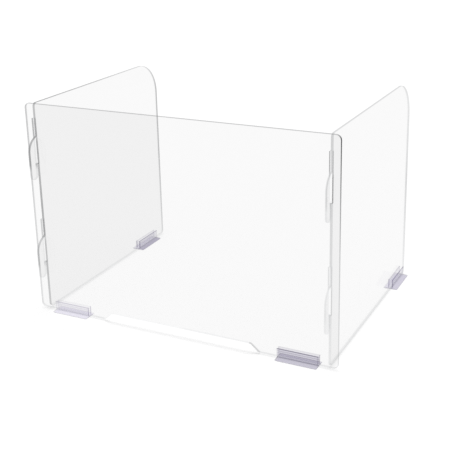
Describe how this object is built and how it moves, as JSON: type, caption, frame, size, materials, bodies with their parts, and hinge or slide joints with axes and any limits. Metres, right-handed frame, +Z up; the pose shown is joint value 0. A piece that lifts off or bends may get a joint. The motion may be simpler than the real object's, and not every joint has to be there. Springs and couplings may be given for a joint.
{
  "type": "desk privacy panel",
  "caption": "Three-sided clear acrylic desk shield: side panels hook through slots in the front panel, and clear clips with soft fins and taped feet stand each panel up.",
  "frame": {"origin": "on the desk, under the middle of the whole shield's bounding box", "axes": "+X along the front panel from left to right as seen from in front of it, +Y back from the front panel along the side panels, +Z up"},
  "size_m": [0.61, 0.457, 0.4091],
  "materials": {
    "acrylic_sheet": "polished",
    "clear_pvc": "gloss",
    "soft_pvc": "satin",
    "foam_tape": "matte"
  },
  "bodies": {
    "front_panel": {"front_panel": "acrylic_sheet"},
    "left_side_panel": {"left_side_panel": "acrylic_sheet"},
    "right_side_panel": {"right_side_panel": "acrylic_sheet"},
    "front_left_clip": {"front_left_clip": "clear_pvc", "front_left_clip_front_fins": "soft_pvc", "front_left_clip_back_fins": "soft_pvc", "front_left_clip_tape": "foam_tape"},
    "front_right_clip": {"front_right_clip": "clear_pvc", "front_right_clip_front_fins": "soft_pvc", "front_right_clip_back_fins": "soft_pvc", "front_right_clip_tape": "foam_tape"},
    "rear_left_clip": {"rear_left_clip": "clear_pvc", "rear_left_clip_outer_fins": "soft_pvc", "rear_left_clip_inner_fins": "soft_pvc", "rear_left_clip_tape": "foam_tape"},
    "rear_right_clip": {"rear_right_clip": "clear_pvc", "rear_right_clip_outer_fins": "soft_pvc", "rear_right_clip_inner_fins": "soft_pvc", "rear_right_clip_tape": "foam_tape"}
  },
  "joints": [
    {"name": "left_side_lift", "type": "slide", "parent": "front_panel", "child": "left_side_panel", "axis": [0, 0, 1], "range_m": [0, 0.033]},
    {"name": "right_side_lift", "type": "slide", "parent": "front_panel", "child": "right_side_panel", "axis": [0, 0, 1], "range_m": [0, 0.033]},
    {"name": "front_left_clip_slide", "type": "slide", "parent": "front_panel", "child": "front_left_clip", "axis": [1, 0, 0], "range_m": [-0.015, 0.033]},
    {"name": "front_right_clip_slide", "type": "slide", "parent": "front_panel", "child": "front_right_clip", "axis": [-1, 0, 0], "range_m": [-0.015, 0.033]},
    {"name": "rear_left_clip_slide", "type": "slide", "parent": "left_side_panel", "child": "rear_left_clip", "axis": [0, 1, 0], "range_m": [-0.308, 0.0325]},
    {"name": "rear_right_clip_slide", "type": "slide", "parent": "right_side_panel", "child": "rear_right_clip", "axis": [0, 1, 0], "range_m": [-0.3285, 0.012]}
  ]
}
